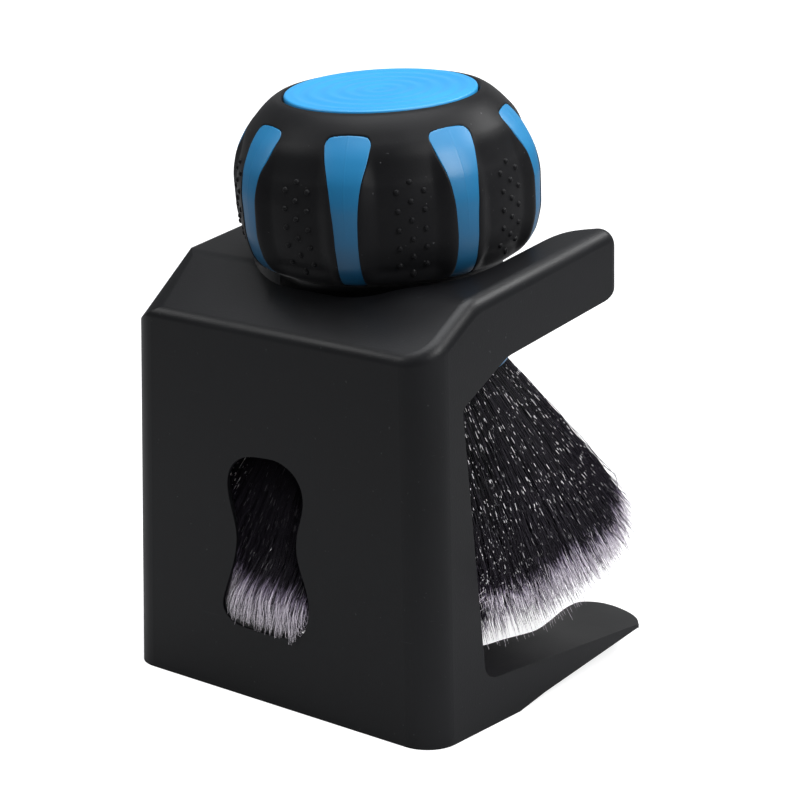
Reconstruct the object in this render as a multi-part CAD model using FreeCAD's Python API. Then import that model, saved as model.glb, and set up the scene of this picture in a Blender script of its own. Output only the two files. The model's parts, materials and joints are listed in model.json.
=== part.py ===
import FreeCAD, Part
import math
import os

# Fade brush with a palm-sized knob handle, hanging in its open-sided moulded stand. Millimetres, +Z up.
#
# Everything is first built in the stand's frame: X across the width, Y from the face of the front
# wall (y = 0) towards the open side, Z up from the surface it stands on. At the end the assembly
# is moved so that the origin is at the bottom centre of the whole object's box.
# Points of the brush are given as (radius, s), where s runs down the brush's axis from its top disc.

V = FreeCAD.Vector

# ---- stand: driving dimensions ----
SIDE_LEFT = -44.2            # side faces at the floor; the brush hangs at x = 0
SIDE_RIGHT = 40.5
SIDE_DRAFT = 0.0265          # the side faces close in by this much per mm of height
WALL = 2.4                   # moulded wall thickness
WALL_HEIGHT = 80.5           # front wall, up to the sloping facet
FACET_SLOPE = 0.605          # the facet's rise per mm of depth
FACET_END_Y = 15.8           # where the facet meets the top of the fork
FORK_SLOPE = 0.147           # the fork's rise per mm of depth
FORK_TIP_Y = 66.5
FORK_TIP_R = 6.5             # lower corner of the arms' tips, seen from the side
UNDERSIDE_Y = 26.3           # where the fork's underside turns down towards the column
UNDERSIDE_Z = 76.8
COLUMN_TOP_Y = 11.4          # rear edge of the column, top and foot
COLUMN_TOP_Z = 69.1
COLUMN_FOOT_Y = 17.9
FORK_GAP_HALF = 29.2         # half the gap between the fork arms
FORK_ROOT_Y = 11.2           # closed end of the gap
FORK_ROOT_R = 23.5           # corner radius at the closed end
BASE_TOP = 10.2              # height of the base at BASE_TOP_Y, and its fall per mm of depth
BASE_TOP_Y = 21.2
BASE_FALL = 0.0713
BASE_TIP_Y = 81.5
BASE_LIP = 1.0               # thickness of the prongs' tips
BASE_FLAT_Y = 48.0           # the wall round the gap stands on the floor up to here
BASE_RISE_END = (74.0, 5.6)  # the prongs' underside rises to here
SIDE_FLAT_Y = 29.5           # the side faces' lower edge leaves the floor here
SIDE_BEND = (38.5, 1.5)      # and rises more gently from here
BASE_GAP_R = 26.0            # round closed end of the gap between the prongs
BASE_GAP_Y = 40.5            # its centre
BASE_PLATE = 3.0             # thickness of the base's top
BASE_HOLLOW_END_Y = 56.0     # the prongs are solid beyond this
BASE_WIDEN_X = 25.2          # the left prong is the wider one beyond this distance from the middle
FORK_WIDEN_X = 30.4          # and the left arm beyond this one
FORK_TIP_WALL = 3.2          # the arms' tips are solid for this much
HOLLOW_REAR_Y = 24.0         # the column's hollow is open to the rear here
OPEN_COLUMN_Z = 72.0         # it is open all the way across up to here at the wall
OPEN_COLUMN_TOP = (14.0, 76.5)   # and up to here at the rear, (y, z)
CORNER_R = 7.0               # upright front corners
ROUNDING_R = 10.3            # rounding of the facet's left edge at the wall's top
ROUNDING_END_Y = 33.0        # it has faded to nothing here
EDGE_R = 3.0                 # edge that runs round the wall, facet and fork
WINDOW_LIP = 0.7             # the wall is this thin at the window's edge
WINDOW_FLARE = 2.2           # the opening widens by this much towards the inside

# ---- brush: driving dimensions ----
LEAN = 5.2                   # degrees that the brush leans towards the front wall
DISC_Y = 33.4                # centre of the top disc
DISC_Z = 126.2
DISC_R = 20.1
DISC_THICK = 2.2
RIPPLES = 5                  # raised rings on the disc
RIPPLE_HEIGHT = 0.25
GRIP_THICK = 2.2             # rubber over-mould
CORE_WALL = 2.6
BOSS_R = 6.5                 # boss inside the core, for the screw
BOSS_END_S = 4.0
STRIPES = 8                  # core ribs that show through the grip
STRIPE_TURN = 24.3           # degrees from the front to the first stripe
STRIPE_TOP_S = 3.6
STRIPE_TOP_HALF = 4.8        # half-widths of a stripe at its top, at STRIPE_MID_S and at its end
STRIPE_MID_S = 18.0
STRIPE_MID_HALF = 2.75
STRIPE_END_HALF = 2.4
STRIPE_END_S = 34.0          # the stripes end at the shoulder
STRIPE_CORNER = 1.5
NECK_R = 23.4
GRIP_END_S = 51.0
PLATE_S = 57.0               # lower face of the drilled tuft block
TUFT_BLOCK_S = 49.0
TUFT_BLOCK_R = 20.4
COLLAR_R = 24.4              # ring of the core that shows under the rubber
COLLAR_END_S = 58.3
COLLAR_MOUTH_R = 22.6        # its bore opens out to this at its end
HOLE_DEPTH = 5.0
HOLE_R = 1.3
FAN_APEX_S = 28.7            # the tufts' axes all pass through this point of the brush's axis
RING_STEP = 7.6              # degrees between rings of tufts
TUFT_SPREAD = 3.2            # degrees, half of a tuft's own spread
TUFT_SPREAD_PRESSED = 2.5    # the same where the stand presses the tufts together
FAN_MIDDLE_Y = 42.0          # tufts nearer the wall than this are pressed back
FAN_FREE_FRONT_Y = -4.0      # where their ends would be without the stand
FAN_FRONT_Y = 7.4            # where they are in it
FAN_SIDE_X = 31.5            # limit between the column's sides
FAN_FLOOR_Z = 13.0
COLUMN_CLEAR_Y = 27.0
RINGS = 4
TUFT_GAP = 0.03
STAPLE = (3.2, 0.3, 1.5)     # flat wire that holds a tuft: length, thickness, height
SCREW_R = 1.9
SCREW_HEAD_R = 4.2
SCREW_HEAD = 2.8
SCREW_SEAT = 8.0             # the head sits this far above the block's upper face
SCREW_HOLE_R = 2.2           # clearance hole through the core
SCREW_CORE_R = 1.5           # the thread's core, and its pilot hole in the block
SCREW_CORE_LENGTH = 1.6
HEAD_BORE_R = 4.4            # bore above the screw, which the cap's spigot closes
SPIGOT_LENGTH = 6.0
SCREW_SLOT = (6.4, 1.0, 1.2) # cross slot: length, width, depth
SLACK = 0.03                 # between parts that are pressed or screwed together

# Cutters reach past the whole object to these distances.
PAST_X = 60.0
PAST_Y = 120.0
PAST_Z = 110.0


# The knob's outline, (s, radius): crown, widest at about a third of its height, shoulder, neck.
KNOB = [
    (0.0, 21.0), (1.5, 23.4), (4.0, 26.0), (8.0, 29.2), (13.0, 31.6), (18.0, 32.4), (24.0, 32.3),
    (29.0, 31.3), (31.6, 30.0), (33.2, 28.4), (34.3, 26.3), (35.2, 24.4), (37.2, 23.6), (42.0, NECK_R),
]
# A prong of the base in plan, (x, y): along its inner edge, round the tip, back to the side face.
PRONG_INNER = [(26.0, 40.5), (26.3, 44.5), (26.8, 48.0), (27.2, 52.5), (26.2, 58.0), (24.3, 64.5),
               (22.2, 71.5), (21.5, 76.0)]
PRONG_TIP = [(21.5, 76.0), (22.3, 79.4), (25.2, 81.3), (31.0, 80.9), (36.0, 78.6), (40.2, 74.2)]
# The tip of a fork arm in plan, from its inner edge to the side face.
FORK_TIP = [(29.2, 50.0), (29.4, 54.0), (30.4, 57.6), (32.4, 60.2), (34.6, 61.9), (36.7, 63.8), (38.3, 66.5)]
# The window in the front wall, (x, z): round head, waist and flared foot, like a shaving brush.
WINDOW = [(-2.5, 53.8), (2.0, 53.0), (5.2, 50.6), (6.6, 47.0), (6.3, 43.6), (5.2, 40.0), (4.7, 36.6), (5.3, 32.6),
          (6.6, 29.3), (7.8, 25.4), (7.7, 21.0), (6.0, 17.4), (2.4, 15.9), (-3.2, 15.4), (-9.0, 15.4),
          (-13.6, 16.2), (-15.9, 18.6), (-15.3, 22.6), (-13.5, 27.4), (-12.1, 32.2), (-11.9, 36.4), (-12.8, 40.0),
          (-13.8, 43.4), (-14.1, 47.2), (-12.9, 50.4), (-10.3, 52.5), (-6.6, 53.5)]
# The bristles' outline, (s, radius), from the straight flare to the domed end.
FAN_DOME = [(95.0, 48.7), (102.0, 46.1), (108.0, 41.9), (114.0, 35.5), (117.3, 20.0), (118.4, 0.0)]


# ---------------------------------------------------------------- helpers

def lean_vector(radial_y, axial):
    """A direction in the plane x = 0, from its parts across and along the brush's axis."""
    angle = math.radians(LEAN)
    across = V(0, math.cos(angle), math.sin(angle))
    along = V(0, -math.sin(angle), math.cos(angle))
    return across * radial_y + along * axial


BRUSH_AXIS = lean_vector(0, 1)
DISC_CENTRE = V(0, DISC_Y, DISC_Z)


def on_axis(s):
    return DISC_CENTRE - BRUSH_AXIS * s


def place_brush(shape):
    """Move a shape made about +Z, with s = 0 at the origin and s running down, on to the brush."""
    placed = shape.copy()
    turn = FreeCAD.Rotation(V(0, 0, 1), BRUSH_AXIS)
    placed.Placement = FreeCAD.Placement(DISC_CENTRE, turn)
    return placed


def side_prism(points):
    """Extrude a closed outline of (y, z) points right across the stand."""
    wire = Part.makePolygon([V(-PAST_X, y, z) for y, z in points + points[:1]])
    return Part.Face(wire).extrude(V(2 * PAST_X, 0, 0))


def revolve_about_z(edges):
    """Revolve a closed chain of edges in the plane y = 0 into a solid."""
    face = Part.Face(Part.Wire(Part.__sortEdges__(edges)))
    return face.revolve(V(0, 0, 0), V(0, 0, 1), 360)


def line(a, b):
    return Part.LineSegment(V(*a), V(*b)).toShape()


def polyline(points):
    return [line(a, b) for a, b in zip(points, points[1:])]


def spline_edge(points):
    curve = Part.BSplineCurve()
    curve.interpolate([V(r, 0, -s) for s, r in points])
    return curve


def inward(points, distance):
    """The same outline moved towards the axis, along its normals."""
    moved = []
    for i, (s, r) in enumerate(points):
        s0, r0 = points[max(i - 1, 0)]
        s1, r1 = points[min(i + 1, len(points) - 1)]
        length = math.hypot(s1 - s0, r1 - r0)
        moved.append((s + distance * (r1 - r0) / length, r - distance * (s1 - s0) / length))
    return moved


def one_solid(shape):
    return max(shape.Solids, key=lambda solid: solid.Volume)


# ---------------------------------------------------------------- stand

def facet_z(y):
    return WALL_HEIGHT + FACET_SLOPE * y


def fork_z(y):
    return facet_z(FACET_END_Y) + FORK_SLOPE * (y - FACET_END_Y)


def base_rim_z(y):
    return BASE_TOP - BASE_FALL * (y - BASE_TOP_Y)


def prong_underside_z(y):
    (y0, z0), (y1, z1) = SIDE_BEND, BASE_RISE_END
    return z0 + (z1 - z0) * (y - y0) / (y1 - y0)


def draft_block(inset, margin):
    """The block between the two side faces, moved in by `inset`."""
    left = SIDE_LEFT + inset
    right = SIDE_RIGHT - inset
    low_draft = SIDE_DRAFT * margin
    high_draft = SIDE_DRAFT * PAST_Z
    points = [V(left - low_draft, -margin, -margin), V(right + low_draft, -margin, -margin),
              V(right - high_draft, -margin, PAST_Z), V(left + high_draft, -margin, PAST_Z)]
    face = Part.Face(Part.makePolygon(points + points[:1]))
    return face.extrude(V(0, PAST_Y, 0))


def rounded_face(corners, x):
    """A closed outline of (y, z, corner radius) points as a face in the plane of this x."""
    points = [V(x, y, z) for y, z, _ in corners]
    edges = []
    ends = []
    for i, (_, _, radius) in enumerate(corners):
        corner = points[i]
        before = (points[i - 1] - corner).normalize()
        after = (points[(i + 1) % len(points)] - corner).normalize()
        half_turn = (math.pi - before.getAngle(after)) / 2
        trim = radius * math.tan(half_turn)
        start = corner + before * trim
        end = corner + after * trim
        if radius > 0:
            centreward = (before + after).normalize()
            middle = corner + centreward * (radius / math.cos(half_turn) - radius)
            edges.append(Part.Arc(start, middle, end).toShape())
        ends.append((start, end))
    for i in range(len(corners)):
        leave = ends[i - 1][1]
        arrive = ends[i][0]
        edges.append(Part.LineSegment(leave, arrive).toShape())
    return Part.Face(Part.Wire(Part.__sortEdges__(edges)))


def stand_block():
    """The stand's side view carried across its width: wall, facet, fork, column and base."""
    tip_bottom = UNDERSIDE_Z + FORK_SLOPE * (FORK_TIP_Y - UNDERSIDE_Y)
    outline = [
        (0.0, 0.0, 0.0), (0.0, WALL_HEIGHT, 0.0), (FACET_END_Y, facet_z(FACET_END_Y), 8.0),
        (FORK_TIP_Y, fork_z(FORK_TIP_Y), 4.0), (FORK_TIP_Y, tip_bottom, 0.0),
        (UNDERSIDE_Y, UNDERSIDE_Z, 8.0), (COLUMN_TOP_Y, COLUMN_TOP_Z, 2.0),
        (COLUMN_FOOT_Y, base_rim_z(COLUMN_FOOT_Y), 4.0),
        (BASE_TIP_Y, base_rim_z(BASE_TIP_Y), 0.0), (BASE_TIP_Y, base_rim_z(BASE_TIP_Y) - BASE_LIP, 0.0),
        (*BASE_RISE_END, 20.0), (BASE_FLAT_Y + 10.0, prong_underside_z(BASE_FLAT_Y + 10.0), 0.0),
        (BASE_FLAT_Y, 0.0, 0.0),
    ]
    return rounded_face(outline, -PAST_X).extrude(V(2 * PAST_X, 0, 0))


def tip_under_corner(radius):
    """What is cut away to round the lower corner of the fork's tip, seen from the side."""
    corner = V(0, FORK_TIP_Y, UNDERSIDE_Z + FORK_SLOPE * (FORK_TIP_Y - UNDERSIDE_Y))
    up = V(0, 0, 1)
    back = V(0, -1, -FORK_SLOPE).normalize()
    half = up.getAngle(back) / 2
    centre = corner + (up + back).normalize() * (radius / math.sin(half))
    high = corner + up * (radius / math.tan(half))
    low = corner + back * (radius / math.tan(half))
    clear = 2.0
    outline = [high, high + V(0, clear, 0), corner + V(0, clear, -clear), low - V(0, 0, clear), low, centre]
    block = side_prism([(point.y, point.z) for point in outline])
    return block.cut(Part.makeCylinder(radius, 2 * PAST_X, V(-PAST_X, centre.y, centre.z), V(1, 0, 0)))


def edge_rounding(grow):
    """What is cut away to round the facet's left edge, wide at the wall's top and fading upwards.

    The rounding is a cone that touches the facet and the side face, with its apex on their edge.
    `grow` moves the cut's flat faces apart; above 1 the cone is left out, for the hollow inside.
    """
    facet_out = V(0, -FACET_SLOPE, 1).normalize()
    side_out = V(-1, 0, SIDE_DRAFT).normalize()
    corner = V(SIDE_LEFT + SIDE_DRAFT * WALL_HEIGHT, 0, WALL_HEIGHT)
    edge = facet_out.cross(side_out).normalize()
    edge = edge if edge.y > 0 else edge * -1
    apex = corner + edge * (ROUNDING_END_Y / edge.y)
    far = (apex - corner).Length
    centre = corner - (facet_out + side_out) * (ROUNDING_R / (1 + facet_out.dot(side_out)))
    reach = 1.6
    on_facet = apex + (centre + facet_out * ROUNDING_R - apex) * reach
    on_side = apex + (centre + side_out * ROUNDING_R - apex) * reach
    start = apex - edge * (far * reach)
    on_facet = start + (on_facet - start) * grow
    on_side = start + (on_side - start) * grow
    lift = 6.0
    ring = [on_facet, on_facet + facet_out * lift, start + (facet_out + side_out) * lift,
            on_side + side_out * lift, on_side]
    faces = [Part.Face(Part.makePolygon(ring + ring[:1]))]
    for a, b in zip(ring, ring[1:] + ring[:1]):
        faces.append(Part.Face(Part.makePolygon([a, b, apex, a])))
    wedge = Part.Solid(Part.Shell(faces))
    if grow > 1:
        return wedge
    axis = centre - apex
    half_angle = math.asin(ROUNDING_R / axis.Length)
    height = axis.Length * 2
    cone = Part.makeCone(0, height * math.tan(half_angle), height, apex, axis)
    return wedge.cut(cone)


def fork_gap(offset, low, high):
    """The upright gap between the fork arms, with its rounded closed end."""
    half = FORK_GAP_HALF + offset
    root = FORK_ROOT_Y - offset
    radius = FORK_ROOT_R + offset
    side = root + radius
    inner = half - radius
    diagonal = radius * math.sqrt(0.5)
    far = PAST_Y
    edges = [
        line((half, far, low), (half, side, low)),
        Part.Arc(V(half, side, low), V(inner + diagonal, side - diagonal, low), V(inner, root, low)).toShape(),
        line((inner, root, low), (-inner, root, low)),
        Part.Arc(V(-inner, root, low), V(-inner - diagonal, side - diagonal, low), V(-half, side, low)).toShape(),
        line((-half, side, low), (-half, far, low)),
        line((-half, far, low), (half, far, low)),
    ]
    return Part.Face(Part.Wire(edges)).extrude(V(0, 0, high - low))


def spline_through(points, z):
    curve = Part.BSplineCurve()
    curve.interpolate([V(x, y, z) for x, y in points])
    return curve.toShape()


def outside_of_arms(curves, widen_from, low, high):
    """What lies outside a pair of arms in plan, beyond their roots.

    Each arm is bounded by smooth curves through points from its root along the inner edge and
    round the tip. The left arm is wider than the right, so its tip is stretched from `widen_from`.
    """
    root_y = curves[0][0][1]
    tip_x = curves[-1][-1][0]
    extra = -(SIDE_LEFT + SIDE_RIGHT)
    outside = Part.makeBox(2 * PAST_X, PAST_Y, high - low, V(-PAST_X, root_y, low))
    for side in (1, -1):
        stretch = 0.0 if side > 0 else extra / (tip_x - widen_from)
        placed = [[(side * (x + stretch * max(0.0, x - widen_from)), y) for x, y in curve] for curve in curves]
        edges = [spline_through(curve, low) for curve in placed]
        first = placed[0][0]
        last = placed[-1][-1]
        outline = [last, (side * PAST_X, last[1]), (side * PAST_X, root_y), first]
        edges += polyline([(x, y, low) for x, y in outline])
        arm = Part.Face(Part.Wire(Part.__sortEdges__(edges))).extrude(V(0, 0, high - low))
        outside = outside.cut(arm)
    return outside


def base_trim(offset, low, high):
    """All that is cut away from the base in plan: the gap between the prongs, and round their tips."""
    curves = [[(x + offset, y) for x, y in curve] for curve in (PRONG_INNER, PRONG_TIP)]
    outside = outside_of_arms(curves, BASE_WIDEN_X + offset, low, high)
    return outside.fuse(Part.makeCylinder(BASE_GAP_R + offset, high - low, V(0, BASE_GAP_Y, low)))


def closed_spline(points, y):
    curve = Part.BSplineCurve()
    curve.interpolate([V(x, y, z) for x, z in points], PeriodicFlag=True)
    return Part.Wire([curve.toShape()])


def window():
    """Opening in the front wall; its edge is a thin lip, and it widens towards the inside."""
    middle_x = sum(x for x, _ in WINDOW) / len(WINDOW)
    middle_z = sum(z for _, z in WINDOW) / len(WINDOW)
    wide = []
    for x, z in WINDOW:
        reach = math.hypot(x - middle_x, z - middle_z)
        grow = 1 + WINDOW_FLARE / reach
        wide.append((middle_x + (x - middle_x) * grow, middle_z + (z - middle_z) * grow))
    before = 5.0
    overlap = 0.2
    lip = Part.Face(closed_spline(WINDOW, -before)).extrude(V(0, before + WINDOW_LIP + overlap, 0))
    flare = Part.makeLoft([closed_spline(WINDOW, WINDOW_LIP), closed_spline(wide, WALL + overlap)], True, True)
    return lip.fuse(flare)


def round_edges(solid, wanted, radius):
    edges = [edge for edge in solid.Edges if wanted(edge)]
    return solid.makeFillet(radius, edges)


def stand_outside():
    """The stand's outer form, solid, with its corners and its upper rim rounded."""
    outer = stand_block().common(draft_block(0, 10))
    near = 0.01

    def upright_corner(edge):
        box = edge.BoundBox
        return box.YMax < near and box.ZLength > WALL_HEIGHT / 2

    def upper_rim(edge):
        middle = edge.valueAt((edge.FirstParameter + edge.LastParameter) / 2)
        to_side = min(middle.x - SIDE_LEFT, SIDE_RIGHT - middle.x) - SIDE_DRAFT * middle.z
        on_side = abs(to_side) < near
        on_front = middle.y < near and abs(middle.z - WALL_HEIGHT) < near
        on_top = middle.z > facet_z(middle.y) - 5 * near or middle.z > fork_z(middle.y) - 5 * near
        return on_front or (on_side and on_top and middle.z > WALL_HEIGHT)

    outer = round_edges(outer, upright_corner, CORNER_R)
    return round_edges(outer, upper_rim, EDGE_R).cut(edge_rounding(1.0))


def upper_hollow():
    """The hollow under the facet and the fork, less the wall that is left round the fork's gap."""
    inner_sides = draft_block(WALL, 10)
    facet_skin = WALL * math.hypot(1, FACET_SLOPE)
    fork_skin = WALL * math.hypot(1, FORK_SLOPE)
    bend_y = FACET_END_Y + 0.6
    rear_y = HOLLOW_REAR_Y
    under_fork_z = 60.0
    column = side_prism([
        (WALL, BASE_TOP), (WALL, facet_z(WALL) - facet_skin), (bend_y, fork_z(bend_y) - fork_skin),
        (rear_y, fork_z(rear_y) - fork_skin), (rear_y, BASE_TOP)])
    overlap_y = rear_y - 2.0
    end_y = FORK_TIP_Y - FORK_TIP_WALL
    fork = side_prism([
        (overlap_y, under_fork_z), (overlap_y, fork_z(overlap_y) - fork_skin),
        (end_y, fork_z(end_y) - fork_skin), (end_y, under_fork_z)])
    hollow = column.fuse(fork).common(inner_sides)
    return hollow.cut(fork_gap(WALL, 66.0, PAST_Z)).cut(edge_rounding(1.3))


def open_column():
    """The part of the column's hollow that is open right across, below the fork's gap."""
    top_y, top_z = OPEN_COLUMN_TOP
    space = side_prism([(WALL, BASE_TOP), (WALL, OPEN_COLUMN_Z), (top_y, top_z), (HOLLOW_REAR_Y, top_z),
                        (HOLLOW_REAR_Y, BASE_TOP)])
    return space.common(draft_block(WALL, 10)).cut(edge_rounding(1.3))


def base_hollow():
    """The hollow under the base, less the wall that is left round the gap between the prongs."""
    end_y = BASE_HOLLOW_END_Y
    space = side_prism([
        (WALL, -5.0), (WALL, BASE_TOP - BASE_PLATE), (BASE_TOP_Y, BASE_TOP - BASE_PLATE),
        (end_y, base_rim_z(end_y) - BASE_PLATE), (end_y, -5.0)])
    return space.common(draft_block(WALL, 10)).cut(base_trim(WALL, -10.0, 30.0))


def side_rise():
    """What is cut from under the side faces, where their lower edge leaves the floor."""
    below = -1.0
    under = side_prism([(SIDE_FLAT_Y, below), (SIDE_FLAT_Y, 0.0), SIDE_BEND, BASE_RISE_END,
                        (BASE_RISE_END[0], below)])
    gap_wall_x = BASE_GAP_R + WALL + 1.4
    return under.cut(Part.makeBox(2 * gap_wall_x, PAST_Y, 20.0, V(-gap_wall_x, 0, -5.0)))


def make_stand():
    """A hollow moulding: its underside and its open side show one wall thickness."""
    shell = stand_outside().cut(open_column()).cut(upper_hollow()).cut(base_hollow())
    shell = shell.cut(fork_gap(0, 40.0, PAST_Z))
    shell = shell.cut(outside_of_arms([FORK_TIP], FORK_WIDEN_X, 70.0, PAST_Z))
    shell = shell.cut(base_trim(0, -5.0, 20.0)).cut(window())
    shell = shell.cut(tip_under_corner(FORK_TIP_R)).cut(side_rise())
    return one_solid(shell)


# ---------------------------------------------------------------- brush

def knob_solid(outline, low_s, top_s=0.0):
    """The knob's outline made solid, from s = top_s down to s = low_s."""
    curve = spline_edge(outline)
    start = curve.StartPoint
    end = curve.EndPoint
    edges = [curve.toShape()]
    edges += polyline([(0, 0, start.z), (start.x, 0, start.z)])
    edges += polyline([(end.x, 0, end.z), (end.x, 0, -low_s), (0, 0, -low_s), (0, 0, start.z)])
    solid = revolve_about_z(edges)
    above = Part.makeCylinder(PAST_X, PAST_Z, V(0, 0, -top_s))
    return solid.cut(above) if top_s > 0 else solid


def stripe_prism():
    """A stripe seen square on: wide and round-cornered at the top, narrowing to an even band."""
    end_s = STRIPE_END_S
    corner_s = STRIPE_TOP_S + STRIPE_CORNER
    flat_half = STRIPE_TOP_HALF - STRIPE_CORNER
    diagonal = STRIPE_CORNER * (1 - math.sqrt(0.5))
    edges = []
    for side in (1, -1):
        edges.append(Part.Arc(V(0, side * STRIPE_TOP_HALF, -corner_s), V(0, side * STRIPE_MID_HALF, -STRIPE_MID_S),
                              V(0, side * STRIPE_END_HALF, -end_s)).toShape())
        edges.append(Part.Arc(V(0, side * flat_half, -STRIPE_TOP_S),
                              V(0, side * (STRIPE_TOP_HALF - diagonal), -(STRIPE_TOP_S + diagonal)),
                              V(0, side * STRIPE_TOP_HALF, -corner_s)).toShape())
    edges.append(line((0, -flat_half, -STRIPE_TOP_S), (0, flat_half, -STRIPE_TOP_S)))
    edges.append(line((0, -STRIPE_END_HALF, -end_s), (0, STRIPE_END_HALF, -end_s)))
    face = Part.Face(Part.Wire(Part.__sortEdges__(edges)))
    return face.extrude(V(PAST_X, 0, 0))


def all_stripes():
    prisms = []
    for i in range(STRIPES):
        prism = stripe_prism()
        prism.rotate(V(0, 0, 0), V(0, 0, 1), -90.0 + STRIPE_TURN + i * 360.0 / STRIPES)
        prisms.append(prism)
    return prisms


def make_handle():
    """The hard core with its eight ribs, and the rubber grip moulded round them."""
    recess = Part.makeCylinder(DISC_R + SLACK, DISC_THICK + 1, V(0, 0, -DISC_THICK))
    outside = knob_solid(KNOB, GRIP_END_S).cut(recess)
    core_outside = knob_solid(inward(KNOB, GRIP_THICK), PLATE_S, DISC_THICK)
    grip = outside.cut(core_outside)
    collar = Part.makeCylinder(COLLAR_R, COLLAR_END_S - GRIP_END_S, V(0, 0, -COLLAR_END_S))
    core = core_outside.fuse(collar)
    grip_room = grip
    for prism in all_stripes():
        grip = grip.cut(prism)
        core = core.fuse(grip_room.common(prism))
    cavity = knob_solid(inward(KNOB, GRIP_THICK + CORE_WALL), TUFT_BLOCK_S, DISC_THICK + CORE_WALL)
    core = core.cut(cavity)
    bore_r = TUFT_BLOCK_R + SLACK
    core = core.cut(Part.makeCylinder(bore_r, COLLAR_END_S - TUFT_BLOCK_S, V(0, 0, -COLLAR_END_S)))
    core = core.cut(Part.makeCone(COLLAR_MOUTH_R, bore_r, COLLAR_END_S - PLATE_S, V(0, 0, -COLLAR_END_S)))
    # A boss under the disc takes the screw that pulls the tuft block up into the handle.
    boss = Part.makeCylinder(BOSS_R, TUFT_BLOCK_S - BOSS_END_S, V(0, 0, -TUFT_BLOCK_S))
    core = core.fuse(boss)
    core = core.cut(Part.makeCylinder(SCREW_HOLE_R, PAST_Z, V(0, 0, -PAST_Z)))
    seat_s = TUFT_BLOCK_S - SCREW_SEAT
    core = core.cut(Part.makeCylinder(HEAD_BORE_R, seat_s, V(0, 0, -seat_s)))
    return one_solid(core), one_solid(grip)


def make_top_cap():
    """Disc with low concentric ripples, and a spigot that presses into the core."""
    pitch = DISC_R / (RIPPLES + 0.5)
    height = RIPPLE_HEIGHT
    r = pitch * 0.5
    edges = [Part.Arc(V(0, 0, height), V(r * 0.55, 0, height * 0.7), V(r, 0, 0)).toShape()]
    for _ in range(RIPPLES):
        end = r + pitch
        edges.append(Part.Arc(V(r, 0, 0), V((r + end) / 2, 0, height), V(end, 0, 0)).toShape())
        r = end
    edges += polyline([(r, 0, 0), (r, 0, -DISC_THICK), (0, 0, -DISC_THICK), (0, 0, height)])
    disc = revolve_about_z(edges)
    spigot = Part.makeCylinder(HEAD_BORE_R - SLACK, SPIGOT_LENGTH, V(0, 0, -DISC_THICK - SPIGOT_LENGTH))
    return disc.fuse(spigot).removeSplitter()


def tuft_axes():
    """Directions of the tufts from the fan's apex, ring by ring."""
    rings = [[V(0, 0, -1)]]
    for ring in range(1, RINGS + 1):
        count = 6 * ring
        polar = math.radians(RING_STEP * ring)
        axes = []
        for i in range(count):
            turn = math.radians(360.0 * i / count + (90.0 if ring % 2 else 90.0 + 180.0 / count))
            axes.append(V(math.sin(polar) * math.cos(turn), math.sin(polar) * math.sin(turn), -math.cos(polar)))
        rings.append(axes)
    return rings


def dome_reach(polar):
    """Distance from the fan's apex to its domed end, along a direction this far off the axis."""
    slope = math.tan(polar)
    for (s0, r0), (s1, r1) in zip(FAN_DOME, FAN_DOME[1:]):
        over0 = r0 - (s0 - FAN_APEX_S) * slope
        over1 = r1 - (s1 - FAN_APEX_S) * slope
        if over0 >= 0 >= over1:
            s = s0 + (s1 - s0) * over0 / (over0 - over1)
            return (s - FAN_APEX_S) / math.cos(polar)
    return (FAN_DOME[0][0] - FAN_APEX_S) / math.cos(polar)


def bent_tip(mouth, tip):
    """Where a tuft's end goes in the stand: pressed back from the front wall and the column's sides."""
    squeeze = (FAN_MIDDLE_Y - FAN_FRONT_Y) / (FAN_MIDDLE_Y - FAN_FREE_FRONT_Y)
    length = (tip - mouth).Length
    x = tip.x
    y = tip.y
    if y < FAN_MIDDLE_Y:
        y = FAN_MIDDLE_Y - (FAN_MIDDLE_Y - y) * squeeze
    if y < COLUMN_CLEAR_Y:
        x = max(-FAN_SIDE_X, min(FAN_SIDE_X, x))
    drop = math.sqrt(length ** 2 - (x - mouth.x) ** 2 - (y - mouth.y) ** 2)
    return V(x, y, max(mouth.z - drop, FAN_FLOOR_Z))


def make_tuft(mouth, bottom, axis, tip, end_r):
    """One tuft: a root that fills its hole, then a straight flare to the tip."""
    root = Part.makeCylinder(HOLE_R, (mouth - bottom).Length, bottom, axis)
    knuckle = Part.makeSphere(HOLE_R, mouth)
    flare = Part.makeCone(HOLE_R, end_r, (tip - mouth).Length, mouth, (tip - mouth).normalize())
    return root.fuse(knuckle).fuse(flare)


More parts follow.
